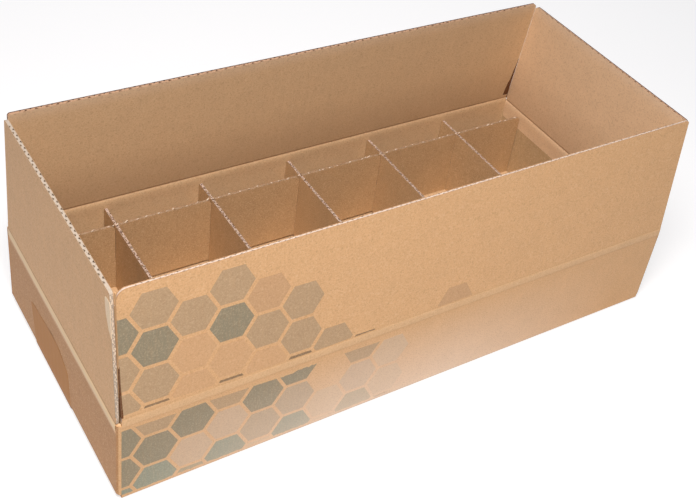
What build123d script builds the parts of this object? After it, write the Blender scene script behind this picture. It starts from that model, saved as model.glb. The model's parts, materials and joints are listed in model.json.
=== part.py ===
from build123d import *
from math import cos, floor, radians, sin, tan
import os

os.makedirs("parts", exist_ok=True)

# A slotted shipping carton of fluted board, open at the top, with a grid of interlocked
# dividers for glass jars. Millimetres. The origin is the middle of the underside, +Z is up,
# +X runs along the long panels and the printed long panel faces -Y.

# Board of the carton: two liners with a fluted medium between them. The die crushes the cut
# edges, which leaves a small opening at each flute.
board = 3.0
liner = 0.35
flute_pitch = 8.7
flute_opening = 3.4
flute_opening_height = 1.3
flute_depth = 7.0

# Carton, outside
carton_length = 540.0
carton_width = 242.0
crease_height = 88.0
flap_length = 118.0
fold_radius = 4.0
foot_radius = 2.4
lap_gap = 0.2

# Slots and creases of the flaps
flap_side_gap = 0.5
short_crease_inset = 3.5
swing_clearance = 0.5
hinge_gap = 0.3
open_angle = 120.0
front_lean_angle = 5.0
back_lean_angle = 5.3
corner_radius = 2.5
worn_corner_radius = 8.0
score_rise = 4.0
score_width = 1.4
score_depth = 0.35

# Glued joint at the back left corner
tab_width = 35.0
tab_shoulder = 12.0
tab_margin = 6.0
joint_groove = 1.0

# Sealing tape under the bottom seam and up both end panels
tape_width = 75.0
tape_offset = 20.0
tape_rise = 48.0
tape_thickness = 0.1

# Dividers: three long strips and five cross strips on a square grid
divider_board = 2.5
divider_height = 72.0
cell_pitch = 92.0
cross_count = 5
long_count = 3
slot_clearance = 0.3
slot_overlap = 0.5
end_clearance = 0.5
entry_radius = 5.0
strip_corner_radius = 2.0

half_length = carton_length / 2
half_width = carton_width / 2
bead_radius = board / 2

# The long flaps close over the short ones, so the short flaps fold one board lower at the
# top and one board higher at the bottom.
short_crease_height = crease_height - board - lap_gap
long_wall_top = crease_height - bead_radius - hinge_gap
end_wall_top = short_crease_height - bead_radius - hinge_gap
end_wall_foot = board + lap_gap
floor_top = end_wall_foot + board

# The long flaps pass between the upright short ones, and the sides of the short flaps slope
# so that they pass between the long flaps, which lean inwards.
long_flap_inset = board + flap_side_gap
long_reach = half_length - long_flap_inset
short_reach = half_width - short_crease_inset
inner_reach = half_width - board - swing_clearance
front_tip_reach = inner_reach - flap_length * tan(radians(front_lean_angle))
back_tip_reach = inner_reach - flap_length * tan(radians(back_lean_angle))

# A bevel on the outer edge of each wall's top lets its flap swing out past level.
bevel_top = (bead_radius + hinge_gap) * (1 - sin(radians(open_angle))) / cos(radians(open_angle))
bevel_foot = (bead_radius + hinge_gap - bead_radius * cos(radians(open_angle))) / sin(radians(open_angle))
bevel_run = bead_radius - bevel_top
bevel_drop = bevel_foot - bead_radius - hinge_gap


def flute_voids(edge_length, sheet, both_faces=True):
    """Draw the open ends of the flutes along a cut edge, centred in the sketch."""
    count = floor(edge_length / flute_pitch)
    half_base = flute_opening / 2
    foot = sheet / 2 - liner
    tip = foot - flute_opening_height
    with GridLocations(flute_pitch, 1, count, 1):
        Polygon((-half_base, -foot), (half_base, -foot), (0, -tip), align=None)
    if both_faces:
        with GridLocations(flute_pitch, 1, count - 1, 1):
            Polygon((-half_base, foot), (0, tip), (half_base, foot), align=None)


with BuildPart() as carton_body:
    # Four panels in one ring, folded at three corners and glued at the fourth
    with BuildSketch(Plane.XY.offset(end_wall_foot)):
        Rectangle(carton_length, carton_width)
        folded_corners = vertices().sort_by(Axis((0, 0, 0), (1, -1, 0)))[1:]
        fillet(folded_corners, fold_radius)
        offset(amount=-board, mode=Mode.SUBTRACT)
    extrude(amount=long_wall_top - end_wall_foot)
    end_folds = edges().filter_by(Axis.Y).group_by(Axis.Z)[0].sort_by(Axis.X)
    fillet([end_folds[0], end_folds[-1]], foot_radius)

    # Slots at the corners, and the lower top edge of the end panels
    with BuildSketch(Plane.XY.offset(end_wall_top)):
        with Locations((-half_length, 0), (half_length, 0)):
            Rectangle(2 * long_flap_inset, carton_width + board)
    extrude(amount=long_wall_top, mode=Mode.SUBTRACT)

    # Long bottom flaps, which meet at the seam under the middle of the carton
    seam_half = half_width - bead_radius - flap_length
    with BuildSketch(Plane.YZ):
        with BuildLine():
            Polyline(
                (-seam_half, 0),
                (-half_width, 0),
                (-half_width, crease_height / 2),
                (-half_width + board, crease_height / 2),
                (-half_width + board, board),
                (-seam_half, board),
                close=True,
            )
        make_face()
        fillet(vertices().sort_by(Axis((0, 0, 0), (1, 1, 0)))[0], foot_radius)
        mirror(about=Plane.YZ)
    extrude(amount=long_reach, both=True)

    # Short bottom flaps, folded in above the long ones
    flap_tip = half_length - bead_radius - flap_length
    with BuildSketch(Plane.XY.offset(end_wall_foot)):
        for side in (-1, 1):
            Polygon(
                (side * (half_length - bead_radius), -short_reach),
                (side * flap_tip, -front_tip_reach),
                (side * flap_tip, back_tip_reach),
                (side * (half_length - bead_radius), short_reach),
                align=None,
            )
    extrude(amount=board)

    # Bevels that clear the flaps when they swing out
    with BuildSketch(Plane.YZ):
        Polygon(
            (-half_width, long_wall_top - bevel_drop),
            (-half_width + bevel_run, long_wall_top),
            (-half_width, long_wall_top),
            align=None,
        )
        mirror(about=Plane.YZ)
    extrude(amount=half_length, both=True, mode=Mode.SUBTRACT)
    with BuildSketch(Plane.XZ):
        Polygon(
            (-half_length, end_wall_top - bevel_drop),
            (-half_length + bevel_run, end_wall_top),
            (-half_length, end_wall_top),
            align=None,
        )
        mirror(about=Plane.YZ)
    extrude(amount=half_width, both=True, mode=Mode.SUBTRACT)

    # The second score line of each crease, below it on the outside of the wall
    with BuildSketch(Plane.YZ):
        with Locations((-half_width, crease_height - score_rise)):
            Polygon((0, -score_width / 2), (score_depth, 0), (0, score_width / 2), align=None)
        mirror(about=Plane.YZ)
    extrude(amount=half_length, both=True, mode=Mode.SUBTRACT)
    with BuildSketch(Plane.XZ):
        with Locations((-half_length, short_crease_height - score_rise)):
            Polygon((0, -score_width / 2), (score_depth, 0), (0, score_width / 2), align=None)
        mirror(about=Plane.YZ)
    extrude(amount=half_width, both=True, mode=Mode.SUBTRACT)

    # Glue tab of the left end panel, stuck to the inside of the back panel
    tab_foot = floor_top + tab_margin
    tab_top = end_wall_top - tab_margin
    tab_start = -half_length + board / 2
    tab_end = -half_length + board + tab_width
    with BuildSketch(Plane.XZ.offset(-(half_width - board))):
        Polygon(
            (tab_start, tab_foot),
            (tab_end, tab_foot + tab_shoulder),
            (tab_end, tab_top - tab_shoulder),
            (tab_start, tab_top),
            align=None,
        )
    extrude(amount=board)
    with BuildSketch():
        with Locations((-half_length, half_width - board)):
            Rectangle(joint_groove, joint_groove, rotation=45)
    extrude(amount=crease_height, mode=Mode.SUBTRACT)

    # The tape lies flush in the underside
    with BuildSketch():
        with Locations((0, tape_offset)):
            Rectangle(carton_length, tape_width)
    extrude(amount=tape_thickness, mode=Mode.SUBTRACT)
carton_body.part.label = "carton_body"
export_step(carton_body.part, "parts/carton_body.step")


# Top flaps. Each hinges in the middle of its wall's thickness, on a round bead at its crease.
# name, side of the carton in degrees about Z, crease to origin, crease height, lean inwards,
# middle to either end of the crease, middle to the left and right ends of the tip as seen from
# outside, radii of the left and right tip corners
top_flaps = [
    ("flap_front", 0, half_width, crease_height, front_lean_angle, long_reach,
     (long_reach, long_reach), (worn_corner_radius, corner_radius)),
    ("flap_right", 90, half_length, short_crease_height, 0, short_reach,
     (front_tip_reach, back_tip_reach), (corner_radius, corner_radius)),
    ("flap_back", 180, half_width, crease_height, back_lean_angle, long_reach,
     (long_reach, long_reach), (corner_radius, corner_radius)),
    ("flap_left", 270, half_length, short_crease_height, 0, short_reach,
     (back_tip_reach, front_tip_reach), (corner_radius, corner_radius)),
]
for name, side, wall_reach, height, flap_lean, crease_reach, tip_reaches, radii in top_flaps:
    along = Vector(1, 0, 0).rotate(Axis.Z, side)
    inward = Vector(0, 1, 0).rotate(Axis.Z, side)
    up = inward * sin(radians(flap_lean)) + Vector(0, 0, 1) * cos(radians(flap_lean))
    crease = inward * (bead_radius - wall_reach) + Vector(0, 0, height)
    face_plane = Plane(origin=crease, x_dir=along, z_dir=along.cross(up))
    tip_plane = Plane(origin=crease + up * flap_length, x_dir=along, z_dir=up)
    section_plane = Plane(origin=crease, x_dir=inward, z_dir=-along)

    with BuildPart() as flap:
        # The sheet between the crease and the cut edge at the tip
        with BuildSketch(face_plane):
            Polygon(
                (-crease_reach, 0),
                (crease_reach, 0),
                (tip_reaches[1], flap_length),
                (-tip_reaches[0], flap_length),
                align=None,
            )
            tip_corners = vertices().group_by(Axis.Y)[-1].sort_by(Axis.X)
            fillet(tip_corners[0], radii[0])
            fillet(vertices().group_by(Axis.Y)[-1].sort_by(Axis.X)[-1], radii[1])
        extrude(amount=board / 2, both=True)
        # The bead at the crease
        with Locations(face_plane):
            Cylinder(bead_radius, 2 * crease_reach, rotation=(0, 90, 0))
        # The second score line, above the crease on the outside
        with BuildSketch(Plane(origin=crease, x_dir=-face_plane.z_dir, z_dir=along)):
            with Locations((-bead_radius, score_rise)):
                Polygon(
                    (0, -score_width / 2),
                    (score_depth, 0),
                    (0, score_width / 2),
                    align=None,
                )
        extrude(amount=crease_reach, both=True, mode=Mode.SUBTRACT)
        # The open ends of the flutes along the tip
        with BuildSketch(tip_plane):
            with Locations(((tip_reaches[1] - tip_reaches[0]) / 2, 0)):
                flute_voids(sum(tip_reaches) - 2 * max(radii), board)
        extrude(amount=-flute_depth, mode=Mode.SUBTRACT)
    flap.part.label = name
    export_step(flap.part, f"parts/{name}.step")


# Divider grid: the long strips are slotted from above and the cross strips from below, each to
# half its height, so that they interlock with all edges level.
slot_width = divider_board + 2 * slot_clearance
slot_depth = divider_height / 2 + slot_overlap
long_strip_length = carton_length - 2 * board - 2 * end_clearance
cross_strip_length = carton_width - 2 * board - 2 * end_clearance
strip_top = floor_top + divider_height
cross_places = [(i - (cross_count - 1) / 2) * cell_pitch for i in range(cross_count)]
long_places = [(i - (long_count - 1) / 2) * cell_pitch for i in range(long_count)]

for number, place in enumerate(long_places):
    with BuildPart() as long_strip:
        with BuildSketch(Plane.XZ.offset(-place)):
            with Locations((0, strip_top)):
                Rectangle(long_strip_length, divider_height, align=(Align.CENTER, Align.MAX))
            with Locations([(x, strip_top) for x in cross_places]):
                Rectangle(slot_width, slot_depth, align=(Align.CENTER, Align.MAX), mode=Mode.SUBTRACT)
            # The right-hand corner of every stretch between slots is rounded
            right_corners = vertices().group_by(Axis.Y)[-1].sort_by(Axis.X)[1::2]
            fillet(right_corners, entry_radius)
        extrude(amount=divider_board / 2, both=True)
        stretch_ends = [-long_strip_length / 2, *cross_places, long_strip_length / 2]
        with BuildSketch(Plane.XY.offset(strip_top)):
            for start, end in zip(stretch_ends, stretch_ends[1:]):
                with Locations(((start + end) / 2, place)):
                    flute_voids(end - start - slot_width - 2 * entry_radius, divider_board, False)
        extrude(amount=-flute_depth, mode=Mode.SUBTRACT)
    strip_name = ("divider_long_front", "divider_long_middle", "divider_long_back")[number]
    long_strip.part.label = strip_name
    export_step(long_strip.part, f"parts/{strip_name}.step")

for number, place in enumerate(cross_places):
    with BuildPart() as cross_strip:
        with BuildSketch(Plane.YZ.offset(place)):
            with Locations((0, strip_top)):
                Rectangle(cross_strip_length, divider_height, align=(Align.CENTER, Align.MAX))
            with Locations([(y, floor_top) for y in long_places]):
                Rectangle(slot_width, slot_depth, align=(Align.CENTER, Align.MIN), mode=Mode.SUBTRACT)
            fillet(vertices().group_by(Axis.Y)[-1], strip_corner_radius)
        extrude(amount=divider_board / 2, both=True)
        with BuildSketch(Plane(origin=(place, 0, strip_top), x_dir=(0, 1, 0), z_dir=(0, 0, 1))):
            flute_voids(cross_strip_length - 2 * strip_corner_radius, divider_board)
        extrude(amount=-flute_depth, mode=Mode.SUBTRACT)
    cross_strip.part.label = f"divider_cross_{number + 1}"
    export_step(cross_strip.part, f"parts/divider_cross_{number + 1}.step")


with BuildPart() as bottom_tape:
    # One strip of tape along the bottom seam, turned up over both end panels
    with BuildSketch(Plane.XZ.offset(-tape_offset)):
        with BuildLine():
            FilletPolyline(
                (-half_length, tape_rise),
                (-half_length, tape_thickness),
                (half_length, tape_thickness),
                (half_length, tape_rise),
                radius=long_flap_inset,
            )
            offset(amount=tape_thickness, side=Side.RIGHT)
        make_face()
    extrude(amount=tape_width / 2, both=True)
bottom_tape.part.label = "bottom_tape"
export_step(bottom_tape.part, "parts/bottom_tape.step")
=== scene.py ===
import json
import math
import random
from collections import namedtuple

import bmesh
import bpy
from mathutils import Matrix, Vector


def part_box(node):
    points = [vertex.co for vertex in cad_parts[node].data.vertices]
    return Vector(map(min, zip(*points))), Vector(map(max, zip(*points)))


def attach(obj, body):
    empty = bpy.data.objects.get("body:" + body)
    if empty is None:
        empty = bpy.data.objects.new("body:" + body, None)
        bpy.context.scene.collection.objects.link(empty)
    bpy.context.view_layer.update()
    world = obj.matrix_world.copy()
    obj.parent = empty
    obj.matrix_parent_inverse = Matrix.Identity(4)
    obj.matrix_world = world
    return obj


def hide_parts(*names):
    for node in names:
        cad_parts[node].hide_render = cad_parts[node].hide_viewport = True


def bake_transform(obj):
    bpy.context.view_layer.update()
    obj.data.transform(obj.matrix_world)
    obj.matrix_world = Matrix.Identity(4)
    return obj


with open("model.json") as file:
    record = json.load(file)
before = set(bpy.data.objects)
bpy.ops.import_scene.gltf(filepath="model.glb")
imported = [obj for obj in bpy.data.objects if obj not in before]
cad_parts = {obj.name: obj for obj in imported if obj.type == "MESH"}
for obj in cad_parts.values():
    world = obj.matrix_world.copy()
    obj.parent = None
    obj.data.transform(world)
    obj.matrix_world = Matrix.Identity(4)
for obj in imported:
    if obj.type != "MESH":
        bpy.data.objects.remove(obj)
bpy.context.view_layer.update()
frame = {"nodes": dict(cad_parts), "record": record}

# An open slotted carton of brown fluted board with a grid of dividers for honey jars.
# Metres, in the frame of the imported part: +X along the long panels, +Z up, the printed long
# panel faces -Y, and the origin is in the middle of the underside.

MM = 0.001
UP = Vector((0, 0, 1))
chance = random.Random(7)

# Board
board = 3.0 * MM
half_board = board / 2
liner = 0.35 * MM
flute_pitch = 8.7 * MM

# Carton
body_low, body_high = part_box("carton_body")
half_length = (body_high.x - body_low.x) / 2
half_width = (body_high.y - body_low.y) / 2
flap_length = 118.0 * MM

# How far each flap leans inwards at rest, in degrees
leans = {"front_flap": 5.0, "back_flap": 5.3, "left_flap": 0.0, "right_flap": 0.0}

# Creases outside: the rule leaves two score lines, and the liner stands up as a ridge between
# them. Foot and top of the ridge, from the crease, its height, how far below it the lower line
# is, how dark the score lines are painted (painted shade in the grooves) and how pale the ridge's crest is
# painted (a painted highlight).
outer_ridges = {
    "front_flap": (-7.0 * MM, 1.8 * MM, 0.35 * MM, 0.3 * MM, 0.34, 0.18),
    "back_flap": (-3.7 * MM, 3.7 * MM, 0.35 * MM, 0.3 * MM, 0.35, 0.15),
    "left_flap": (-10.0 * MM, -0.6 * MM, 0.80 * MM, 3.0 * MM, 0.65, 0.90),
    "right_flap": (-3.7 * MM, 3.7 * MM, 0.06 * MM, 0.3 * MM, 0.35, 0.15),
}
ridge_foot_margin = 1.4 * MM
ridge_strip_top = 5.1 * MM
ridge_steps = 22
score_offset = 0.3 * MM
score_half = 0.45 * MM
score_sink = 0.12 * MM
ridge_roundness = 0.7
# The ridge is fuller towards one end of its crease, and uneven, as the fold inside is
ridge_mid_fullness = 0.75
ridge_end_growth = 0.25
ridge_unevenness = 0.3
fold_unevenness = 0.12
# How far the liners stand proud of the sheet, how far their edges are tucked into it, and how
# long their undersides are beside their tops
proud = 0.05 * MM
tuck = 0.10 * MM
under_share = 0.97

# Creases inside: a fold line over a round shoulder of crushed board. Place up from the crease
# and distance in front of the sheet, in millimetres.
inner_fold = [
    (-24.0, -0.06), (-21.0, 0.01), (-17.0, 0.06), (-13.0, 0.22), (-9.5, 0.46), (-7.0, 0.60), (-5.0, 0.60),
    (-3.5, 0.50), (-2.5, 0.32), (-1.8, 0.12), (-1.4, -0.05), (-1.0, -0.20), (-0.6, -0.20), (-0.2, -0.05),
    (0.3, 0.05), (1.6, 0.05), (2.6, -0.10),
]
# A dark line of painted shade runs along the fold line, and painted shade fades out over this reach above it
fold_line = -0.7 * MM
fold_shade_reach = 55.0 * MM
station_length = 9.0 * MM
turn_half = 1.5 * MM

# Honeycomb print on the front
print_row = 34.3 * MM
print_column = 29.7 * MM
print_gap = 3.2 * MM
print_first_column = -240.0 * MM
print_first_row = 94.6 * MM
print_skew = -1.2
print_left = -266.85 * MM
print_foot = -83.0 * MM
ink_low = -0.02 * MM
ink_high = 0.10 * MM
rag_step = 2.2 * MM
rag_size = 0.5 * MM
fine_rag = 0.4 * rag_size
coarse_rag = 2 * rag_size
# Edges of the bare band over the crease: place along it and height above it, in millimetres
band_tops = [(-270, 5.5), (-247, 5.5), (-190, 4.1), (-130, 2.3), (270, 2.2)]
band_feet = [(-270, -10.5), (-254, -10.6), (-222, -11.9), (-189, -11.0), (-135, -14.5), (-103, -13.0),
             (-77, -13.0), (-43, -14.5), (270, -14.5)]


class Side:
    """One side of the carton: its crease, the wall below it and the flap above it."""

    def __init__(self, joint):
        self.crease = Vector(joint["pos_m"])
        self.along = -Vector(joint["axis"])
        self.inward = Vector(joint["axis"]).cross(UP)
        self.flap = joint["child"]
        self.node = "flap_" + self.flap.split("_")[0]
        self.lean = math.radians(leans[self.flap])
        self.flap_up = self.inward * math.sin(self.lean) + UP * math.cos(self.lean)
        self.flap_out = UP * math.sin(self.lean) - self.inward * math.cos(self.lean)
        low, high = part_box(self.node)
        self.half_width = abs((high - low).dot(self.along)) / 2

    def point(self, along, rise, out):
        """A point along the crease, up the sheet from it, and out from the sheet's middle."""
        up, outward = (self.flap_up, self.flap_out) if rise > 0 else (UP, -self.inward)
        return self.crease + self.along * along + up * rise + outward * out


sides = {joint["child"]: Side(joint) for joint in frame["record"]["behaviour"]["joints"]}


# Materials

def colour(code):
    """Linear colour of an sRGB hex code."""
    channels = [int(code[i:i + 2], 16) / 255 for i in (1, 3, 5)]
    linear = [c / 12.92 if c <= 0.04045 else ((c + 0.055) / 1.055) ** 2.4 for c in channels]
    return (*linear, 1.0)


def add(tree, kind, inputs=None, **settings):
    """Add a node with its settings, and give its inputs values or other nodes' outputs."""
    node = tree.nodes.new(kind)
    for name, value in settings.items():
        setattr(node, name, value)
    for name, value in (inputs or {}).items():
        if isinstance(value, bpy.types.NodeSocket):
            tree.links.new(value, node.inputs[name])
        else:
            node.inputs[name].default_value = value
    return node


def surface(name, roughness, specular):
    """Start a material whose shader has one roughness all over."""
    material = bpy.data.materials.new(name)
    material.use_nodes = True
    tree = material.node_tree
    tree.nodes.clear()
    shader = add(tree, "ShaderNodeBsdfPrincipled", {"Roughness": roughness, "Specular IOR Level": specular})
    add(tree, "ShaderNodeOutputMaterial", {"Surface": shader.outputs["BSDF"]})
    return material, tree, shader


# Kraft paper: cloudy pulp with dark and pale fibres. The fibres are drawn 1.3 mm long, coarse
# enough to show.
cloud_size = 16.0 * MM
fibre_size = 1.3 * MM
grain_size = 0.5 * MM
flute_relief = 0.03 * MM
grain_relief = 0.02 * MM
kraft_roughness = 0.62
kraft_specular = 0.5
dark_fibre = "#8a6440"
pale_fibre = "#f0d9b8"
outer_kraft = "#dcb283"
# The end panels outside are darker: painted shade
end_panel_shaded = "#b98856"
inner_kraft = "#dabb95"
# The end walls inside are darker: painted shade
end_wall_shaded = "#bfa37e"
# The right flap's inner liner is paler: painted light
right_flap_painted_light = "#e6c7a5"
recycled_kraft = "#c2a27c"
# Dark brown for the painted shadow in the slots
slot_shadow_brown = "#6a4226"
# Packing tape, and the size of its blotches
tape_brown = "#ad701c"
tape_blush = "#b57a28"
blush_size = 9.0 * MM
# Streaks in the printed ink: their width, and how they are drawn out up the panel
streak_size = 1.6 * MM
streak_draw = (1.0, 1.0, 0.12)
tear_size = 1.0 * MM

# Painted light and shade: painted shade in the fold and the score lines, and painted highlights on the ridges
# and at the tips of the flaps
fold_shadow_brown = "#83593a"
score_shade = "#86603e"
ridge_highlight = "#f3dcb6"
tip_highlight = "#ecd7c2"
tip_highlight_reach = 13.0 * MM
tip_highlight_share = 0.35
# Painted reflection of the white floor, pale towards the foot of the long panels: how high it
# goes, its middle, how far it is even to either side and where it ends
floor_sheen_colour = "#f4e4d6"
floor_sheen_strength = 0.7
floor_sheen_top = 80.0 * MM
floor_sheen_middle = -20.0 * MM
floor_sheen_even = 60.0 * MM
floor_sheen_end = 250.0 * MM

# Cut edges: colour where the fluting shows, colour of the torn pulp, share of fluting, half the
# width of the pulp between the two liners, colour of the liners' own edges, how far out from
# the middle of the board the edge starts to be painted dark with shade, and the painted shadow inside the
# open flutes. The far edges, on the back and right flaps, are painted in shade.
CutEdge = namedtuple("CutEdge", "fluting pulp cover core_half liner_edge soiled_from flute_shadow")
# Painted shade on the cut edges of the back and right flaps
edge_shade_brown = "#5f4030"
shaded_far_edge = CutEdge("#a5815f", "#b8957a", 0.40, 1.3 * MM, "#b48f6a", 0.3 * MM, edge_shade_brown)
cut_edges = {
    "front_flap": CutEdge("#a08470", "#d8cac0", 0.38, 0.6 * MM, "#b48f6a", half_board, "#cdb8a6"),
    "back_flap": shaded_far_edge,
    "left_flap": CutEdge("#84705e", "#bcb2a6", 0.36, 1.15 * MM, "#b09a82", half_board, "#a48e76"),
    "right_flap": shaded_far_edge,
}
edge_shade_fade = 0.3 * MM
# The open flutes: how thick the liner is on either side, and how far up they start
flute_skin = 0.3 * MM
flute_foot = 3.0 * MM


def kraft(tree, place, base, cloud=0.035, fleck=0.40):
    """Colour of kraft paper: the base colour in soft clouds, flecked with fibres."""
    clouds = add(tree, "ShaderNodeTexNoise", {"Vector": place, "Scale": 1 / cloud_size, "Detail": 4.0,
                                              "Roughness": 0.7})
    shade = add(tree, "ShaderNodeMapRange", {"Value": clouds.outputs["Fac"], "From Min": 0.3, "From Max": 0.7,
                                             "To Min": 1 - cloud, "To Max": 1 + cloud})
    tinted = add(tree, "ShaderNodeMix", {0: 1.0, 6: base, 7: shade.outputs[0]},
                 data_type="RGBA", blend_type="MULTIPLY")
    fibres = add(tree, "ShaderNodeTexNoise", {"Vector": place, "Scale": 1 / fibre_size, "Detail": 4.0,
                                              "Roughness": 0.65})
    dark = add(tree, "ShaderNodeMapRange", {"Value": fibres.outputs["Fac"], "From Min": 0.52,
                                            "From Max": 0.72, "To Max": fleck})
    flecked = add(tree, "ShaderNodeMix", {0: dark.outputs[0], 6: tinted.outputs[2], 7: colour(dark_fibre)},
                  data_type="RGBA")
    pale = add(tree, "ShaderNodeMapRange", {"Value": fibres.outputs["Fac"], "From Min": 0.48,
                                            "From Max": 0.28, "To Max": fleck})
    return add(tree, "ShaderNodeMix", {0: pale.outputs[0], 6: flecked.outputs[2], 7: colour(pale_fibre)},
               data_type="RGBA").outputs[2]


def washboard(tree, run):
    """Height of the flutes that print through the liner, from -1 to 1 along the run."""
    turn = add(tree, "ShaderNodeMath", {0: run, 1: 2 * math.pi / flute_pitch}, operation="MULTIPLY")
    return add(tree, "ShaderNodeMath", {0: turn.outputs[0]}, operation="SINE").outputs[0]


def relief(tree, shader, place, flutes, flute_height=flute_relief, grain_height=grain_relief):
    """Bump of paper: grain, over the washboard of the flutes."""
    grain = add(tree, "ShaderNodeTexNoise", {"Vector": place, "Scale": 1 / grain_size, "Detail": 3.0})
    low = add(tree, "ShaderNodeBump", {"Strength": 1.0, "Distance": flute_height, "Height": flutes})
    fine = add(tree, "ShaderNodeBump", {"Strength": 1.0, "Distance": grain_height,
                                        "Height": grain.outputs["Fac"], "Normal": low.outputs["Normal"]})
    tree.links.new(fine.outputs["Normal"], shader.inputs["Normal"])


def torn_pulp(tree, place, dark, pale, cover, size=tear_size):
    """Colour of a die-cut edge: pale torn pulp, specked where the brown fluting shows."""
    fuzz = add(tree, "ShaderNodeTexNoise", {"Vector": place, "Scale": 1 / size, "Detail": 2.0})
    pulp = add(tree, "ShaderNodeMapRange", {"Value": fuzz.outputs["Fac"], "From Min": cover - 0.1,
                                            "From Max": cover + 0.06})
    return add(tree, "ShaderNodeMix", {0: pulp.outputs[0], 6: colour(dark), 7: colour(pale)},
               data_type="RGBA").outputs[2]


def fold_shade(tree, paper, rise):
    """Paint shade onto a liner: a dark line of painted shade along its fold line, and painted shade above it
    that fades out further up.
    """
    off = add(tree, "ShaderNodeMath", {0: rise, 1: fold_line}, operation="SUBTRACT")
    near = add(tree, "ShaderNodeMath", {0: off.outputs[0]}, operation="ABSOLUTE")
    line = add(tree, "ShaderNodeMapRange", {"Value": near.outputs[0], "From Min": 0.3 * MM,
                                            "From Max": 1.3 * MM, "To Min": 0.75, "To Max": 0.0})
    above = add(tree, "ShaderNodeMath", {0: off.outputs[0], 1: 0.0}, operation="GREATER_THAN")
    soft = add(tree, "ShaderNodeMapRange", {"Value": rise, "From Min": 0.0, "From Max": fold_shade_reach,
                                            "To Min": 0.3, "To Max": 0.0})
    shade = add(tree, "ShaderNodeMath", {0: above.outputs[0], 1: soft.outputs[0]}, operation="MULTIPLY")
    most = add(tree, "ShaderNodeMath", {0: line.outputs[0], 1: shade.outputs[0]}, operation="MAXIMUM")
    return add(tree, "ShaderNodeMix", {0: most.outputs[0], 6: paper, 7: colour(fold_shadow_brown)},
               data_type="RGBA").outputs[2]


def inside_kraft(side):
    """Colour of the liner inside a flap; the right one is painted paler, as painted light."""
    return colour(right_flap_painted_light if side.flap == "right_flap" else inner_kraft)


def flap_liner(tree, side, place, normal, rise):
    """Colour of a flap's two liners: plain outside, and inside with a painted highlight at the tip and
    painted shade in the fold.
    """
    facing = add(tree, "ShaderNodeVectorMath", {0: normal, 1: side.flap_out}, operation="DOT_PRODUCT")
    outside = add(tree, "ShaderNodeMath", {0: facing.outputs["Value"], 1: 0.0}, operation="GREATER_THAN")
    front = kraft(tree, place, colour(outer_kraft))
    # Painted highlight on the inside at the tip
    paling = add(tree, "ShaderNodeMapRange", {"Value": rise, "From Min": flap_length - tip_highlight_reach,
                                           "From Max": flap_length, "To Max": tip_highlight_share},
              interpolation_type="SMOOTHSTEP")
    lightened = add(tree, "ShaderNodeMix", {0: paling.outputs[0], 6: inside_kraft(side), 7: colour(tip_highlight)},
                 data_type="RGBA")
    back = fold_shade(tree, kraft(tree, place, lightened.outputs[2]), rise)
    return add(tree, "ShaderNodeMix", {0: outside.outputs[0], 6: back, 7: front},
               data_type="RGBA").outputs[2]


def cut_edge(tree, cut, place, off, depth):
    """Colour of a flap's cut edge: torn pulp between the edges of the liners, with painted shade further out.
    """
    core = add(tree, "ShaderNodeMapRange", {"Value": depth, "From Min": cut.core_half + 0.2 * MM,
                                            "From Max": cut.core_half - 0.1 * MM})
    pulp = torn_pulp(tree, place, cut.fluting, cut.pulp, cut.cover)
    edge = add(tree, "ShaderNodeMix", {0: core.outputs[0], 6: colour(cut.liner_edge), 7: pulp},
               data_type="RGBA")
    # Painted shade on the outer part of the edge
    edge_shade_share = add(tree, "ShaderNodeMapRange", {"Value": off, "From Min": cut.soiled_from,
                                            "From Max": cut.soiled_from + edge_shade_fade})
    return add(tree, "ShaderNodeMix", {0: edge_shade_share.outputs[0], 6: edge.outputs[2], 7: colour(edge_shade_brown)},
               data_type="RGBA").outputs[2]


def open_flutes(tree, cut, paper, depth, rise):
    """Give the paper the colour inside the flutes: between the liners, and clear of the crease."""
    between = add(tree, "ShaderNodeMath", {0: depth, 1: half_board - flute_skin}, operation="LESS_THAN")
    clear = add(tree, "ShaderNodeMath", {0: rise, 1: flute_foot}, operation="GREATER_THAN")
    hollow = add(tree, "ShaderNodeMath", {0: between.outputs[0], 1: clear.outputs[0]}, operation="MULTIPLY")
    return add(tree, "ShaderNodeMix", {0: hollow.outputs[0], 6: paper, 7: colour(cut.flute_shadow)},
               data_type="RGBA").outputs[2]


def flap_board(side):
    """Fluted kraft board, die cut: matt brown liners with a painted highlight at the tip and painted shade in
    the fold, and torn pulp at the cut edges.
    """
    cut = cut_edges[side.flap]
    material, tree, shader = surface("kraft_board_" + side.flap, kraft_roughness, kraft_specular)
    where = add(tree, "ShaderNodeTexCoord")
    place = where.outputs["Object"]
    facing = add(tree, "ShaderNodeVectorMath", {0: where.outputs["Normal"], 1: side.flap_out},
                 operation="DOT_PRODUCT")
    tilt = add(tree, "ShaderNodeMath", {0: facing.outputs["Value"]}, operation="ABSOLUTE")
    is_cut = add(tree, "ShaderNodeMath", {0: tilt.outputs[0], 1: 0.5}, operation="LESS_THAN")
    from_crease = add(tree, "ShaderNodeVectorMath", {0: place, 1: side.crease}, operation="SUBTRACT")
    rise = add(tree, "ShaderNodeVectorMath", {0: from_crease.outputs[0], 1: side.flap_up},
               operation="DOT_PRODUCT").outputs["Value"]
    off = add(tree, "ShaderNodeVectorMath", {0: from_crease.outputs[0], 1: side.flap_out},
              operation="DOT_PRODUCT").outputs["Value"]
    depth = add(tree, "ShaderNodeMath", {0: off}, operation="ABSOLUTE").outputs[0]
    paper = flap_liner(tree, side, place, where.outputs["Normal"], rise)
    faces = open_flutes(tree, cut, paper, depth, rise)
    edge = cut_edge(tree, cut, place, off, depth)
    whole = add(tree, "ShaderNodeMix", {0: is_cut.outputs[0], 6: faces, 7: edge}, data_type="RGBA")
    tree.links.new(whole.outputs[2], shader.inputs["Base Color"])
    run = add(tree, "ShaderNodeVectorMath", {0: place, 1: side.along}, operation="DOT_PRODUCT")
    relief(tree, shader, place, washboard(tree, run.outputs["Value"]))
    return material


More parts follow.
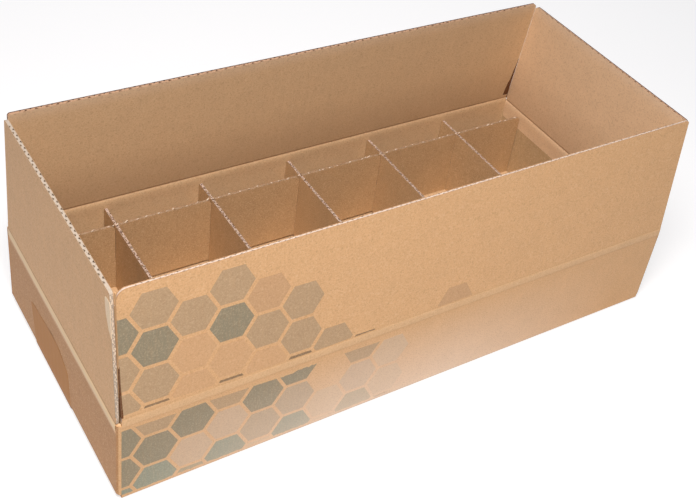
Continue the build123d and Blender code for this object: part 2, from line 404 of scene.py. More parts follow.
def body_board():
    """The same board on the folded body: end panels darker with painted shade, and long panels paler at the
    foot with a painted reflection of the floor.
    """
    material, tree, shader = surface("kraft_board_carton", kraft_roughness, kraft_specular)
    where = add(tree, "ShaderNodeTexCoord")
    place = where.outputs["Object"]
    spot = add(tree, "ShaderNodeSeparateXYZ", {0: place})
    across_x = add(tree, "ShaderNodeMath", {0: spot.outputs["X"]}, operation="ABSOLUTE")
    across_y = add(tree, "ShaderNodeMath", {0: spot.outputs["Y"]}, operation="ABSOLUTE")
    in_x = add(tree, "ShaderNodeMath", {0: across_x.outputs[0], 1: half_length - half_board},
               operation="LESS_THAN")
    in_y = add(tree, "ShaderNodeMath", {0: across_y.outputs[0], 1: half_width - half_board},
               operation="LESS_THAN")
    in_z = add(tree, "ShaderNodeMath", {0: spot.outputs["Z"], 1: half_board}, operation="GREATER_THAN")
    in_plan = add(tree, "ShaderNodeMath", {0: in_x.outputs[0], 1: in_y.outputs[0]}, operation="MULTIPLY")
    inside = add(tree, "ShaderNodeMath", {0: in_plan.outputs[0], 1: in_z.outputs[0]}, operation="MULTIPLY")
    facing = add(tree, "ShaderNodeSeparateXYZ", {0: where.outputs["Normal"]})
    facing_x = add(tree, "ShaderNodeMath", {0: facing.outputs["X"]}, operation="ABSOLUTE")
    on_end = add(tree, "ShaderNodeMath", {0: facing_x.outputs[0], 1: 0.7}, operation="GREATER_THAN")
    run = add(tree, "ShaderNodeMix", {0: on_end.outputs[0], 2: spot.outputs["X"], 3: spot.outputs["Y"]})
    # The long panels get a painted reflection of the white floor, pale at the foot
    sheened = paint_floor_sheen(tree, colour(outer_kraft), spot, on_end.outputs[0])
    outer = add(tree, "ShaderNodeMix", {0: on_end.outputs[0], 6: sheened, 7: colour(end_panel_shaded)},
                data_type="RGBA")
    inner = add(tree, "ShaderNodeMix", {0: on_end.outputs[0], 6: colour(inner_kraft),
                                        7: colour(end_wall_shaded)}, data_type="RGBA")
    face = add(tree, "ShaderNodeMix", {0: inside.outputs[0], 6: outer.outputs[2], 7: inner.outputs[2]},
               data_type="RGBA")
    paper = kraft(tree, place, face.outputs[2])
    tree.links.new(paper, shader.inputs["Base Color"])
    relief(tree, shader, place, washboard(tree, run.outputs[0]))
    return material


def paint_floor_sheen(tree, base, spot, left_out):
    """Paint a reflection of the white floor: a colour paler towards the foot of the long panels, most at mid
    length.
    """
    rise = add(tree, "ShaderNodeMapRange", {"Value": spot.outputs["Z"], "From Min": floor_sheen_top,
                                            "From Max": 0.0, "To Max": floor_sheen_strength})
    aside = add(tree, "ShaderNodeMath", {0: spot.outputs["X"], 1: floor_sheen_middle}, operation="SUBTRACT")
    off = add(tree, "ShaderNodeMath", {0: aside.outputs[0]}, operation="ABSOLUTE")
    fade = add(tree, "ShaderNodeMapRange", {"Value": off.outputs[0], "From Min": floor_sheen_even,
                                            "From Max": floor_sheen_end, "To Min": 1.0, "To Max": 0.0})
    amount = add(tree, "ShaderNodeMath", {0: rise.outputs[0], 1: fade.outputs[0]}, operation="MULTIPLY")
    kept = add(tree, "ShaderNodeMath", {0: 1.0, 1: left_out}, operation="SUBTRACT")
    share = add(tree, "ShaderNodeMath", {0: amount.outputs[0], 1: kept.outputs[0]}, operation="MULTIPLY")
    return add(tree, "ShaderNodeMix", {0: share.outputs[0], 6: base, 7: colour(floor_sheen_colour)},
               data_type="RGBA").outputs[2]


def divider_board(name, across, dark, pale, cover, size):
    """Thin fluted board of recycled pulp: greyer and browner than the carton, with more specks."""
    material, tree, shader = surface("recycled_board_" + name, 0.75, 0.3)
    where = add(tree, "ShaderNodeTexCoord")
    place = where.outputs["Object"]
    facing = add(tree, "ShaderNodeVectorMath", {0: where.outputs["Normal"], 1: across},
                 operation="DOT_PRODUCT")
    tilt = add(tree, "ShaderNodeMath", {0: facing.outputs["Value"]}, operation="ABSOLUTE")
    is_cut = add(tree, "ShaderNodeMath", {0: tilt.outputs[0], 1: 0.5}, operation="LESS_THAN")
    run = add(tree, "ShaderNodeVectorMath", {0: place, 1: Vector((across.y, across.x, 0))},
              operation="DOT_PRODUCT")
    paper = kraft(tree, place, colour(recycled_kraft), cloud=0.05, fleck=0.45)
    edge = torn_pulp(tree, place, dark, pale, cover, size)
    whole = add(tree, "ShaderNodeMix", {0: is_cut.outputs[0], 6: paper, 7: edge}, data_type="RGBA")
    tree.links.new(whole.outputs[2], shader.inputs["Base Color"])
    relief(tree, shader, place, washboard(tree, run.outputs["Value"]))
    return material


def ridge_liner(side):
    """Kraft liner outside a crease: score lines dark with painted shade, and a ridge between them with a
    painted highlight on its crest.
    """
    low, high, _, drop, line_strength, paling = outer_ridges[side.flap]
    material, tree, shader = surface("outer_crease_liner_" + side.flap, kraft_roughness, kraft_specular)
    place = add(tree, "ShaderNodeTexCoord").outputs["Object"]
    height = add(tree, "ShaderNodeSeparateXYZ", {0: place}).outputs["Z"]
    rise = add(tree, "ShaderNodeMath", {0: height, 1: side.crease.z + (low + high) / 2}, operation="SUBTRACT")
    off = add(tree, "ShaderNodeMath", {0: rise.outputs[0]}, operation="ABSOLUTE")
    scores = []
    # Painted shade in the two score lines
    for line_height in (high + score_offset, low - drop):
        from_line = add(tree, "ShaderNodeMath", {0: height, 1: side.crease.z + line_height},
                        operation="SUBTRACT")
        near = add(tree, "ShaderNodeMath", {0: from_line.outputs[0]}, operation="ABSOLUTE")
        scores.append(add(tree, "ShaderNodeMapRange", {
            "Value": near.outputs[0], "From Min": 0.1 * MM, "From Max": 0.9 * MM,
            "To Min": line_strength, "To Max": 0.0}).outputs[0])
    line = add(tree, "ShaderNodeMath", {0: scores[0], 1: scores[1]}, operation="MAXIMUM")
    # Painted highlight on the crest of the ridge
    crest = add(tree, "ShaderNodeMapRange", {"Value": off.outputs[0], "From Min": (high - low) / 3,
                                             "From Max": (high - low) / 2, "To Min": paling, "To Max": 0.0})
    paper = kraft(tree, place, colour(outer_kraft))
    lightened = add(tree, "ShaderNodeMix", {0: crest.outputs[0], 6: paper, 7: colour(ridge_highlight)},
                 data_type="RGBA")
    score_shaded = add(tree, "ShaderNodeMix", {0: line.outputs[0], 6: lightened.outputs[2], 7: colour(score_shade)},
                 data_type="RGBA")
    tree.links.new(score_shaded.outputs[2], shader.inputs["Base Color"])
    run = add(tree, "ShaderNodeVectorMath", {0: place, 1: side.along}, operation="DOT_PRODUCT")
    relief(tree, shader, place, washboard(tree, run.outputs["Value"]))
    return material


def fold_liner(side):
    """Kraft liner inside a crease, with painted shade darkest in the fold."""
    material, tree, shader = surface("inner_crease_liner_" + side.flap, kraft_roughness, kraft_specular)
    place = add(tree, "ShaderNodeTexCoord").outputs["Object"]
    height = add(tree, "ShaderNodeSeparateXYZ", {0: place}).outputs["Z"]
    rise = add(tree, "ShaderNodeMath", {0: height, 1: side.crease.z}, operation="SUBTRACT")
    paper = fold_shade(tree, kraft(tree, place, inside_kraft(side)), rise.outputs[0])
    tree.links.new(paper, shader.inputs["Base Color"])
    run = add(tree, "ShaderNodeVectorMath", {0: place, 1: side.along}, operation="DOT_PRODUCT")
    relief(tree, shader, place, washboard(tree, run.outputs["Value"]))
    return material


def flexo_ink(name, tone):
    """Water-based ink printed on kraft: thin and matt, with faint streaks along the flutes."""
    material, tree, shader = surface("printing_ink_" + name, kraft_roughness, kraft_specular)
    place = add(tree, "ShaderNodeTexCoord").outputs["Object"]
    spot = add(tree, "ShaderNodeSeparateXYZ", {0: place})
    squeezed = add(tree, "ShaderNodeVectorMath", {0: place, 1: streak_draw}, operation="MULTIPLY")
    streaks = add(tree, "ShaderNodeTexNoise", {"Vector": squeezed.outputs[0], "Scale": 1 / streak_size,
                                               "Detail": 3.0})
    bare = add(tree, "ShaderNodeMapRange", {"Value": streaks.outputs["Fac"], "From Min": 0.45,
                                            "From Max": 0.8, "To Max": 0.13})
    inked = add(tree, "ShaderNodeMix", {0: bare.outputs[0], 6: colour(tone), 7: colour(outer_kraft)},
                data_type="RGBA")
    # The ink gets three quarters of the painted reflection of the floor
    sheened_ink = paint_floor_sheen(tree, inked.outputs[2], spot, left_out=0.25)
    tree.links.new(kraft(tree, place, sheened_ink, cloud=0.02, fleck=0.3), shader.inputs["Base Color"])
    relief(tree, shader, place, washboard(tree, spot.outputs["X"]))
    return material


def packing_tape():
    """Brown polypropylene packing tape: thin and smooth, in two blotchy browns over the flutes."""
    material, tree, shader = surface("polypropylene_tape", 0.5, 0.2)
    place = add(tree, "ShaderNodeTexCoord").outputs["Object"]
    spot = add(tree, "ShaderNodeSeparateXYZ", {0: place})
    blush = add(tree, "ShaderNodeTexNoise", {"Vector": place, "Scale": 1 / blush_size, "Detail": 4.0})
    film = add(tree, "ShaderNodeMix", {0: blush.outputs["Fac"], 6: colour(tape_brown), 7: colour(tape_blush)},
               data_type="RGBA")
    tree.links.new(film.outputs[2], shader.inputs["Base Color"])
    relief(tree, shader, place, washboard(tree, spot.outputs["Y"]), flute_height=0.02 * MM,
           grain_height=0.003 * MM)
    return material


def loose_pulp(name, dark, pale, cover):
    """Torn liner and pulp: cream where the paper has split, fuzzy and matt."""
    material, tree, shader = surface(name, 0.9, 0.3)
    place = add(tree, "ShaderNodeTexCoord").outputs["Object"]
    tree.links.new(torn_pulp(tree, place, dark, pale, cover), shader.inputs["Base Color"])
    return material


def slot_shadow_board():
    """Dark brown fluting, ribbed and matt: painted shadow for the slots between the flaps."""
    material, tree, shader = surface("slot_shadow_board", 0.85, 0.2)
    place = add(tree, "ShaderNodeTexCoord").outputs["Object"]
    paper = kraft(tree, place, colour(slot_shadow_brown), cloud=0.12, fleck=0.25)
    tree.links.new(paper, shader.inputs["Base Color"])
    spot = add(tree, "ShaderNodeSeparateXYZ", {0: place})
    relief(tree, shader, place, washboard(tree, spot.outputs["X"]))
    return material


def plain_liner():
    """Kraft liner folded over a cut edge."""
    material, tree, shader = surface("folded_kraft_liner", kraft_roughness, kraft_specular)
    place = add(tree, "ShaderNodeTexCoord").outputs["Object"]
    tree.links.new(kraft(tree, place, colour(outer_kraft)), shader.inputs["Base Color"])
    spot = add(tree, "ShaderNodeSeparateXYZ", {0: place})
    relief(tree, shader, place, washboard(tree, spot.outputs["Z"]))
    return material


# Geometry helpers

corner_angle = math.radians(40)


def build(name, points, faces, material, slot):
    """Make a closed piece from its points and faces, smooth except at its corners."""
    mesh = bpy.data.meshes.new(name)
    mesh.from_pydata([tuple(point) for point in points], [], faces)
    skin = bmesh.new()
    skin.from_mesh(mesh)
    bmesh.ops.recalc_face_normals(skin, faces=skin.faces)
    skin.to_mesh(mesh)
    skin.free()
    mesh.shade_smooth()
    mesh.set_sharp_from_angle(angle=corner_angle)
    mesh.materials.append(material)
    piece = bpy.data.objects.new(name, mesh)
    bpy.context.scene.collection.objects.link(piece)
    return piece


def skin_rings(rings):
    """Points and faces of a solid whose section follows the given rings, capped at both ends."""
    count = len(rings[0])
    points = [point for ring in rings for point in ring]
    faces = [list(range(count)), list(range(len(points) - count, len(points)))]
    for base in range(0, len(points) - count, count):
        for i in range(count):
            j = (i + 1) % count
            faces.append([base + i, base + j, base + count + j, base + count + i])
    return points, faces


def join(shapes):
    """Points and faces of several shapes as one."""
    points, faces = [], []
    for new_points, new_faces in shapes:
        faces += [[i + len(points) for i in face] for face in new_faces]
        points += new_points
    return points, faces


def measured(table, place):
    """Value at a place along a table of (place, value) rows, in millimetres."""
    place /= MM
    for (start, low), (end, high) in zip(table, table[1:]):
        if place <= end:
            return (low + (high - low) * max(0.0, place - start) / (end - start)) * MM
    return table[-1][1] * MM


# Dress the solids

def dress(node, material):
    """Give a solid its material."""
    for socket in frame["nodes"][node].material_slots:
        socket.material = material


# Directions along and across the sheets of each kind of divider
divider_ways = {
    "divider_long": (Vector((1, 0, 0)), Vector((0, 1, 0))),
    "divider_cross": (Vector((0, -1, 0)), Vector((1, 0, 0))),
}
# Their cut edges: colours of the fluting and the torn pulp, share of fluting, size of the tears
divider_edges = {
    "divider_long": ("#97785a", "#aa9580", 0.5, tear_size),
    "divider_cross": ("#54392c", "#cdbab0", 0.46, 1.7 * MM),
}
# The node of each divider, with its kind
dividers = {node: node.rpartition("_")[0] for node in frame["nodes"] if node.startswith("divider_")}

dress("carton_body", body_board())
for side in sides.values():
    dress(side.node, flap_board(side))
for node, kind in dividers.items():
    dress(node, divider_board(node, divider_ways[kind][1], *divider_edges[kind]))


# Crease liners

def liner_strip(name, side, outward, profiles, material):
    """A strip of liner along a crease: outward is 1 outside and -1 inside."""
    rings = []
    for along, skin in profiles:
        middle = sum(rise for rise, _ in skin) / len(skin)
        under = [(middle + (rise - middle) * under_share, out - liner) for rise, out in reversed(skin)]
        rings.append([side.point(along, rise, out * outward) for rise, out in skin + under])
    points, faces = skin_rings(rings)
    piece = build(name, points, faces, material, "carton_board")
    side.point(0, -turn_half, 0)
    side.point(0, turn_half, 0)
    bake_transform(piece)


def stations(side):
    """Places along a crease, end to end."""
    count = max(2, round(2 * side.half_width / station_length))
    return [side.half_width * (2 * i / count - 1) for i in range(count + 1)]


def ridge_profile(low, high, height, drop):
    """Section of the outer liner: a ridge between two score lines, flush beyond them."""
    foot = low - drop - ridge_foot_margin
    top = max(high + ridge_foot_margin, ridge_strip_top)
    middle, half = (low + high) / 2, (high - low) / 2
    skin = [(foot, half_board - tuck)]
    for j in range(1, ridge_steps):
        rise = foot + (top - foot) * j / ridge_steps
        share = (rise - middle) / half
        swell = height * (1 - share ** 2) ** ridge_roundness if abs(share) < 1 else 0.0
        from_line = min(abs(rise - high - score_offset), abs(rise - low + drop))
        sink = score_sink * math.exp(-(from_line / score_half) ** 2)
        skin.append((rise, half_board + proud + swell - sink))
    skin.append((top, half_board - tuck))
    return skin


for side in sides.values():
    low, high, height, drop, _, _ = outer_ridges[side.flap]
    profiles = []
    for along in stations(side):
        fullness = ridge_mid_fullness + ridge_end_growth * along / side.half_width
        fullness += ridge_unevenness * chance.uniform(-1, 1)
        profiles.append((along, ridge_profile(low, high, height * fullness, drop)))
    liner_strip("outer_crease_" + side.flap, side, 1, profiles, ridge_liner(side))
    profiles = []
    for along in stations(side):
        fullness = 1 + fold_unevenness * chance.uniform(-1, 1)
        profiles.append((along, [(rise * MM, half_board + out * fullness * MM) for rise, out in inner_fold]))
    liner_strip("inner_crease_" + side.flap, side, -1, profiles, fold_liner(side))


# Packing tape: its left end is torn, and runs a little askew

tape_thickness = 0.12 * MM
tape_sink = 0.02 * MM
tape_columns = 26
# Along the tape, in millimetres: x, z, and y at its front and back edges
tape_rows = [
    (-270.0, 44.0, -19.0, 65.4), (-270.0, 30.0, -20.5, 62.4), (-270.0, 9.0, -23.0, 58.2),
    (-270.0, 3.5, -22.8, 57.3), (-269.0, 1.0, -22.6, 57.1), (-266.5, 0.1, -22.4, 57.0),
    (0.0, 0.1, -20.0, 57.4), (266.5, 0.1, -17.5, 57.5), (269.0, 1.0, -17.5, 57.5),
    (270.0, 3.5, -17.5, 57.5), (270.0, 25.0, -17.5, 57.5), (270.0, 47.5, -17.5, 57.5),
]
# Top edge of the left end: y and z, and how ragged it is, in millimetres
torn_top = [(-19, 39.0), (-16, 40.5), (-13, 41.3), (-6, 46.5), (2, 50.3), (8.3, 51.3), (24, 50.6),
            (41.2, 48.5), (55, 47.2), (62, 46.0), (65.4, 44.0)]
torn_top_rag = 0.5


def tape_film():
    """The strip of tape under the seam and up both end panels, as one film."""
    sheet = []
    for row, (x, z, front, back) in enumerate(tape_rows):
        before = tape_rows[max(row - 1, 0)]
        after = tape_rows[min(row + 1, len(tape_rows) - 1)]
        run = Vector((after[0] - before[0], 0, after[1] - before[1])).normalized()
        outward = Vector((run.z, 0, -run.x))
        line = []
        for column in range(tape_columns + 1):
            share = column / tape_columns
            y = front + (back - front) * share
            rise = z
            if row == 0:
                rise = measured(torn_top, y * MM) / MM + torn_top_rag * chance.uniform(-1, 1)
            line.append((Vector((x, y, rise)) * MM, outward))
        sheet.append(line)
    rings = []
    for line in sheet:
        outer = [point + outward * tape_thickness for point, outward in line]
        inner = [point - outward * tape_sink for point, outward in line]
        rings.append(outer + inner[::-1])
    points, faces = skin_rings(rings)
    piece = build("tape_film", points, faces, packing_tape(), "tape")
    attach(piece, "carton")
    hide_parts("bottom_tape")


tape_film()


# Honeycomb print: flat-topped hexagons in columns, each column half a row lower than the next.
# One letter a cell, from the top row down: d dark, m middle, t tan, f faint, l light, y mid light,
# g grey green, e light green, v very light, . none. The cells cut by the band show only a sliver
# above it, in the darker ink s.
inks = {
    "d": "#8f8872", "m": "#b89d7c", "t": "#c9a27a", "f": "#d3aa7f", "l": "#cdb398", "y": "#b8a48b",
    "g": "#8d9687", "e": "#a99e84", "v": "#d3b798", "s": "#8a7254",
}
print_columns = {
    -1: "dmmddg", 0: "mdmmdg", 1: "mffdle", 2: "mdfmlg", 3: "tmfdyv", 4: ".mmdyg",
    5: "..m.vv", 6: "...mle", 7: "...vve", 9: "..t...",
}
band_row = 3
ragged_cell = (4, band_row)


def clip(outline, start, end, rag=0.0):
    """Keep the part of an outline to the left of the line from start to end, cut more or less ragged."""
    run_x, run_s = end[0] - start[0], end[1] - start[1]
    reach = math.hypot(run_x, run_s)

    def offset(point):
        return (run_x * (point[1] - start[1]) - run_s * (point[0] - start[0])) / reach

    kept, leaving, entering = [], None, None
    for a, b in zip(outline, outline[1:] + outline[:1]):
        if offset(a) >= 0:
            kept.append(a)
        if (offset(a) >= 0) != (offset(b) >= 0):
            share = offset(a) / (offset(a) - offset(b))
            cut = (a[0] + (b[0] - a[0]) * share, a[1] + (b[1] - a[1]) * share)
            if offset(a) >= 0:
                leaving = (len(kept) + 1, cut)
            else:
                entering = cut
            kept.append(cut)
    if rag and leaving and entering:
        place, cut = leaving
        count = int(math.dist(cut, entering) / rag_step)
        torn = []
        for i in range(1, count):
            share = i / count
            push = rag * chance.uniform(-1, 1)
            x = cut[0] + (entering[0] - cut[0]) * share - run_s / reach * push
            s = cut[1] + (entering[1] - cut[1]) * share + run_x / reach * push
            torn.append((x, s))
        kept[place:place] = torn
    return kept


def hexagon(column, row):
    """Outline of one printed cell on the sheet: along the crease, and up from it."""
    radius = (print_row - print_gap) / math.sqrt(3)
    centre_x = print_first_column + column * print_column
    drop = print_row / 2 if column % 2 else 0
    centre_s = print_first_row - drop - row * print_row
    centre_s += math.tan(math.radians(print_skew)) * (centre_x - print_first_column)
    corners = [math.radians(60 * k + print_skew) for k in range(6)]
    return [(centre_x + radius * math.cos(a), centre_s + radius * math.sin(a)) for a in corners]


def cut_cell(outline, on_flap, rag):
    """Cut a cell off at the sheet's left edge and at the bare band or the foot."""
    left = min(x for x, _ in outline)
    right = max(x for x, _ in outline)
    outline = clip(outline, (print_left, 1.0), (print_left, 0.0))
    if not on_flap and outline:
        outline = clip(outline, (left, print_foot), (right, print_foot), rag_size)
    if not outline:
        return outline
    if on_flap:
        return clip(outline, (left, measured(band_tops, left)), (right, measured(band_tops, right)), rag)
    return clip(outline, (right, measured(band_feet, right)), (left, measured(band_feet, left)), rag)


def print_cells(where, body):
    """Print the cells on the front flap or panel, one piece for each ink."""
    side = sides["front_flap"]
    on_flap = where == "flap"
    shapes = {tone: [] for tone in inks}
    for column, tones in print_columns.items():
        for row, tone in enumerate(tones):
            if on_flap and row == band_row and column % 2 == 0:
                tone = "s"
            rag = coarse_rag if (column, row) == ragged_cell and not on_flap else fine_rag
            outline = cut_cell(hexagon(column, row), on_flap, rag)
            if tone != "." and len(outline) > 2:
                rings = [[side.point(x, s, half_board + out) for x, s in outline]
                         for out in (ink_low, ink_high)]
                shapes[tone].append(skin_rings(rings))
    for tone, cells in shapes.items():
        if cells:
            ink = bpy.data.materials.get("printing_ink_" + tone) or flexo_ink(tone, inks[tone])
            piece = build(f"print_{where}_{tone}", *join(cells), ink, "carton_board")
            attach(piece, body)


print_cells("flap", "front_flap")
print_cells("panel", "carton")


# Torn pulp on the die-cut edges

pulp = loose_pulp("torn_kraft_pulp", "#b49c86", "#d9cbbc", 0.4)
flake_corners = 7
flake_low = -0.1 * MM
flake_high = 0.18 * MM
flake_end_margin = 6 * MM
# Ranges for the flakes on the divider tops, in millimetres: the space between them, how far off
# the middle they lie, their width, and the length and lift of the few big ones and the small ones
flake_spacing = (3, 15)
flake_offset = (-0.7, 0.7)
flake_width = (1.2, 2.2)
big_share = 0.13
big_length = (3.4, 4.8)
big_lift = (1.4, 2.4)
small_length = (1.5, 3.0)
small_lift = (0.3, 0.9)


def flake(centre, long_way, short_way, length, width, lift):
    """An irregular flake of torn liner, stuck down at one end and lifted at the other."""
    lift_way = long_way.cross(short_way)
    outline = []
    for k in range(flake_corners):
        angle = 2 * math.pi * (k + chance.uniform(-0.3, 0.3)) / flake_corners
        reach = chance.uniform(0.6, 1.0) / 2
        rise = lift * (1 + math.cos(angle)) / 2
        outline.append(centre + long_way * length * reach * math.cos(angle)
                       + short_way * width * reach * math.sin(angle) + lift_way * rise)
    return skin_rings([[point + lift_way * out for point in outline] for out in (flake_low, flake_high)])


def divider_flakes(node, along, across):
    """Flakes scattered on the top edge of a divider."""
    low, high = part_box(node)
    middle = (low + high) / 2
    reach = abs((high - low).dot(along)) / 2 - flake_end_margin
    flakes = []
    place = -reach
    while place < reach:
        place += chance.uniform(*flake_spacing) * MM
        centre = middle + along * min(place, reach)
        centre = Vector((centre.x, centre.y, high.z)) + across * chance.uniform(*flake_offset) * MM
        big = chance.random() < big_share
        length = chance.uniform(*(big_length if big else small_length)) * MM
        lift = chance.uniform(*(big_lift if big else small_lift)) * MM
        flakes.append(flake(centre, along, across, length, chance.uniform(*flake_width) * MM, lift))
    return flakes


for node, kind in dividers.items():
    flakes = divider_flakes(node, *divider_ways[kind])
    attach(build("torn_pulp_" + node, *join(flakes), pulp, "divider_board"), "carton")


# Slots between the flaps: the liner frays into them, and dark wedges at their foot paint the shadow in them

# Frayed lips: where they end, how far they keep clear of the fold beside them, and how far below
# the sheet's outer face their root and their rim are
fray_tip = 116.0 * MM
fray_steps = 28
fray_clearance = 0.1 * MM
fray_root_sink = 0.15 * MM
fray_rim_sink = 0.05 * MM
# Wedges of painted shadow in the slots: foot, how far they stand out from the end of the flap, and least
# width
wedge_foot = 3.0 * MM
wedge_end = 0.3 * MM
wedge_least = 0.45 * MM
wedge_steps = 12
# The stub on the body: place, and the height and radius of each section
stub_x = 268.25 * MM
stub_y = 119.0 * MM
stub_rows = [(85.5 * MM, 1.15 * MM), (90.0 * MM, 1.15 * MM), (94.0 * MM, 1.1 * MM), (98.0 * MM, 0.7 * MM)]
stub_corners = 7

# Dark fluting for the painted shadow in the slots
fluting = slot_shadow_board()


def frayed_edge(side, end, material, tip_reach, foot, fray, curl=0.0):
    """A frayed lip of liner over one end of a flap: end is -1 or 1 along the crease."""
    slope = (side.half_width - tip_reach) / flap_length
    rings = []
    for i in range(fray_steps + 1):
        rise = foot + (fray_tip - foot) * i / fray_steps
        edge = side.half_width - slope * rise
        # Where the end slopes in, the lip starts narrow, so that it clears the fold beside it
        room = slope * rise - fray_clearance if slope else fray
        lip = edge + min(fray * chance.uniform(0.9, 1.0), room)
        ring = [(edge - tuck, -half_board + tuck), (lip, -half_board - curl),
                (lip, half_board - fray_rim_sink), (edge - tuck, half_board - fray_root_sink)]
        rings.append([side.point(end * along, rise, out) for along, out in ring])
    piece = build("frayed_edge_" + side.flap, *skin_rings(rings), material, "carton_board")
    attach(piece, side.flap)


def slot_shadow_wedge(side, end, outward, reach, width, wedge_proud):
    """A dark wedge at the foot of a flap's end, tapering up it: painted shadow of the slot, in the brown of
    fluting. outward is 1 outside and -1 inside.
    """
    outer = side.half_width + wedge_end
    sunk = side.half_width - tuck
    rings = []
    for i in range(wedge_steps + 1):
        share = i / wedge_steps
        rise = wedge_foot + (reach - wedge_foot) * share
        inner = outer - max(wedge_least, width * (1 - share) * chance.uniform(0.85, 1.1))
        ring = [(outer, tuck - half_board), (outer, half_board + wedge_proud),
                (inner, half_board + wedge_proud), (inner, half_board - tuck),
                (sunk, half_board - tuck), (sunk, tuck - half_board)]
        rings.append([side.point(end * along, rise, out * outward) for along, out in ring])
    piece = build("slot_shadow_wedge_" + side.flap, *skin_rings(rings), fluting, "carton_board")
    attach(piece, side.flap)


def slot_stub():
    """A post of dark fluting on the corner of the body, behind the back right slot, so that the slot shows
    painted shadow.
    """
    rings = []
    for height, reach in stub_rows:
        ring = []
        for k in range(stub_corners):
            angle = 2 * math.pi * k / stub_corners
            out = reach * chance.uniform(0.85, 1.0)
            ring.append(Vector((stub_x + out * math.cos(angle), stub_y + out * math.sin(angle), height)))
        rings.append(ring)
    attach(build("slot_stub_back_right", *skin_rings(rings), fluting, "carton_board"), "carton")


front, back, left, right = (sides[name + "_flap"] for name in ("front", "back", "left", "right"))
right_tip_reach = right.half_width - flap_length * math.tan(back.lean)
back_kraft, right_kraft = (frame["nodes"][side.node].material_slots[0].material for side in (back, right))
frayed_edge(back, -1, back_kraft, tip_reach=back.half_width, foot=1.8 * MM, fray=0.42 * MM, curl=0.05 * MM)
frayed_edge(right, 1, right_kraft, tip_reach=right_tip_reach, foot=3.0 * MM, fray=0.74 * MM)
frayed_edge(front, -1, plain_liner(), tip_reach=front.half_width, foot=50.0 * MM, fray=0.42 * MM)
# Dark wedges of painted shadow in the slots
slot_shadow_wedge(back, -1, outward=-1, reach=50.0 * MM, width=6.5 * MM, wedge_proud=0.05 * MM)
slot_shadow_wedge(front, -1, outward=1, reach=52.0 * MM, width=1.5 * MM, wedge_proud=0.12 * MM)
slot_stub()


# The worn front left corner: the front edge of the left flap is torn, and its liner peels there

# The edge, from the middle of the crease, at its foot and at its tip
left_foot_edge = 117.5 * MM
left_tip_edge = 107.2 * MM
left_forward = left.along if left.along.y < 0 else -left.along
# Flakes down it, in millimetres: number, how far up from the crease they start and how far they
# run from there, and ranges of how far off the middle of the board they lie, length and width
edge_flakes = 84
edge_flakes_foot = 2
edge_flakes_run = 114
edge_flake_offset = (-0.9, 0.9)
edge_flake_length = (1.5, 4.0)
edge_flake_width = (0.8, 1.3)
# The strip of liner that peels off: height above the crease and width in millimetres, how far it
# stands off the sheet, and how far it reaches past the torn edge
peel_rows = [(79.0, 0.8), (83.5, 4.4), (88.0, 6.2), (94.0, 8.2), (101.0, 9.0), (106.0, 9.0),
             (109.2, 8.5), (110.6, 6.5)]
peel_columns = 4
peel_proud = 0.12 * MM
peel_past_edge = 0.6 * MM


def left_edge(rise):
    """Where the front edge of the left flap is, along its crease from the middle."""
    return left_foot_edge + (left_tip_edge - left_foot_edge) * rise / flap_length


def torn_edge():
    """Flakes down the torn front edge of the left flap."""
    flakes = []
    for i in range(edge_flakes):
        rise = (edge_flakes_foot + edge_flakes_run * (i + chance.random()) / edge_flakes) * MM
        out = chance.uniform(*edge_flake_offset) * MM
        centre = left.crease + UP * rise + left_forward * left_edge(rise) - left.inward * out
        # Low down the flakes lie flat, so that they clear the fold beside them
        lift = chance.uniform(-0.2, min(0.7, 0.08 * rise / MM - 0.3)) * MM
        flakes.append(flake(centre, -UP, left.inward, chance.uniform(*edge_flake_length) * MM,
                            chance.uniform(*edge_flake_width) * MM, lift))
    edge_pulp = loose_pulp("torn_edge_pulp", "#c2ae98", "#eadfd0", 0.42)
    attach(build("torn_edge_left_flap", *join(flakes), edge_pulp, "carton_board"), "left_flap")


def peeled_liner():
    """The strip of liner that has peeled off the outside of the left flap, beside its torn edge."""
    rings = []
    for rise, width in peel_rows:
        rise *= MM
        skin = []
        for j in range(peel_columns + 1):
            share = j / peel_columns
            away = left_forward * (left_edge(rise) - width * MM * (1 - share) + peel_past_edge)
            skin.append(left.crease + UP * rise + away - left.inward * (half_board + peel_proud))
        under = [point + left.inward * liner for point in reversed(skin)]
        rings.append(skin + under)
    pale_liner = loose_pulp("peeled_liner_back", "#e6c59c", "#fdebd0", 0.35)
    piece = build("peeled_liner_left_flap", *skin_rings(rings), pale_liner, "carton_board")
    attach(piece, "left_flap")


torn_edge()
peeled_liner()


# Studio: a pale floor, a soft key lamp to the left of the camera, a weaker one behind the carton,
# and a pale room

def backdrop_mask(tree):
    """1 for rays that show the background: from the camera, a mirror or glass."""
    ray = add(tree, "ShaderNodeLightPath")
    seen = add(tree, "ShaderNodeMath", {0: ray.outputs["Is Camera Ray"], 1: ray.outputs["Is Glossy Ray"]},
               operation="MAXIMUM")
    return add(tree, "ShaderNodeMath", {0: seen.outputs[0], 1: ray.outputs["Is Transmission Ray"]},
               operation="MAXIMUM").outputs[0]


floor_half = 4.0
floor_gap = 0.2 * MM
floor_glow = 0.62
room_light = 0.08
lamp_target = Vector((0, 0, 0.12))
# name, turn to the left of the front and height above the floor in degrees, distance and size
# in metres, power in watts, colour
lamps = [
    ("key_soft_box", 40, 60, 1.25, 0.5, 18.9, "#fff3e7"),
    ("back_soft_box", 205, 42, 1.8, 1.0, 6.5, "#fff8f0"),
]
# The camera: place in metres, turn in degrees, lens and sensor in millimetres, and shift
camera_place = (-0.4772, -0.6317, 0.7390)
camera_turn = (53.037, -7.294, -31.873)
camera_lens = 59.456
camera_sensor = 36.0
camera_shift = (-0.02443, -0.11494)


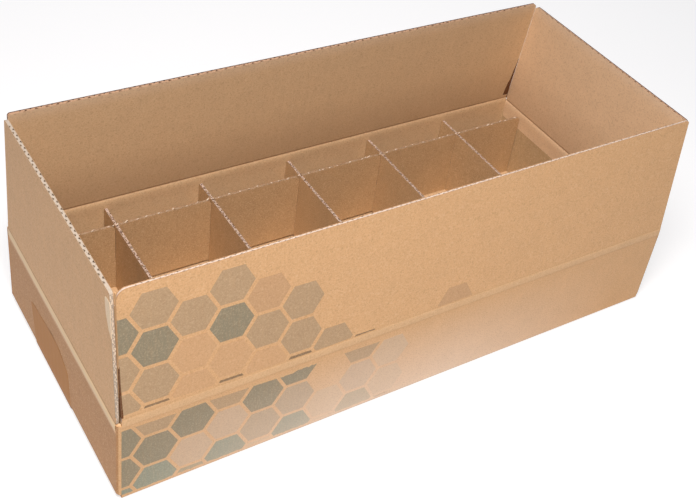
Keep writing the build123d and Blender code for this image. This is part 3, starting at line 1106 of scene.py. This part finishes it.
def make_floor():
    """A matt white floor that shows white to the camera and keeps the carton's shadow."""
    mesh = bpy.data.meshes.new("studio_floor")
    corners = [(-floor_half, -floor_half, 0), (floor_half, -floor_half, 0),
               (floor_half, floor_half, 0), (-floor_half, floor_half, 0)]
    mesh.from_pydata(corners, [], [[0, 1, 2, 3]])
    floor = bpy.data.objects.new("studio_floor", mesh)
    floor.location.z = -floor_gap
    bpy.context.scene.collection.objects.link(floor)
    material = bpy.data.materials.new("matt_white_paper")
    material.use_nodes = True
    tree = material.node_tree
    tree.nodes.clear()
    paper = add(tree, "ShaderNodeBsdfDiffuse", {"Color": colour("#f4f4f4")})
    dim = add(tree, "ShaderNodeBsdfDiffuse", {"Color": colour("#b8bdc4")})
    glow = add(tree, "ShaderNodeEmission", {"Color": (1, 1, 1, 1), "Strength": floor_glow})
    lifted = add(tree, "ShaderNodeAddShader", {0: dim.outputs[0], 1: glow.outputs[0]})
    shown = add(tree, "ShaderNodeMixShader", {0: backdrop_mask(tree), 1: paper.outputs[0],
                                              2: lifted.outputs[0]})
    add(tree, "ShaderNodeOutputMaterial", {"Surface": shown.outputs[0]})
    mesh.materials.append(material)


def make_room():
    """A white background to the camera, and an even pale light on the carton."""
    world = bpy.data.worlds.new("pale_room")
    world.use_nodes = True
    bpy.context.scene.world = world
    tree = world.node_tree
    tree.nodes.clear()
    light = add(tree, "ShaderNodeBackground", {"Color": colour("#dcdcff"), "Strength": room_light})
    white = add(tree, "ShaderNodeBackground", {"Color": (1, 1, 1, 1), "Strength": 1.0})
    shown = add(tree, "ShaderNodeMixShader", {0: backdrop_mask(tree), 1: light.outputs[0],
                                              2: white.outputs[0]})
    add(tree, "ShaderNodeOutputWorld", {"Surface": shown.outputs[0]})


def make_lamps():
    """Soft boxes: the key above the camera, to its left, and a weaker one behind the carton."""
    for name, turn, height, distance, size, power, tint in lamps:
        lamp = bpy.data.lights.new(name, "AREA")
        lamp.shape = "SQUARE"
        lamp.size = size
        lamp.energy = power
        lamp.color = colour(tint)[:3]
        turn, height = math.radians(turn), math.radians(height)
        level = math.cos(height)
        towards = Vector((-math.sin(turn) * level, -math.cos(turn) * level, math.sin(height)))
        box = bpy.data.objects.new(name, lamp)
        box.location = lamp_target + towards * distance
        box.rotation_euler = towards.to_track_quat("Z", "Y").to_euler()
        bpy.context.scene.collection.objects.link(box)


def make_camera():
    """The photograph's viewpoint: high, in front of the carton's left end."""
    lens = bpy.data.cameras.new("camera")
    lens.sensor_fit = "HORIZONTAL"
    lens.sensor_width = camera_sensor
    lens.lens = camera_lens
    lens.shift_x, lens.shift_y = camera_shift
    camera = bpy.data.objects.new("camera", lens)
    camera.location = camera_place
    camera.rotation_euler = [math.radians(angle) for angle in camera_turn]
    bpy.context.scene.collection.objects.link(camera)
    bpy.context.scene.camera = camera


make_floor()
make_room()
make_lamps()
make_camera()
bpy.context.scene.view_settings.view_transform = "Standard"
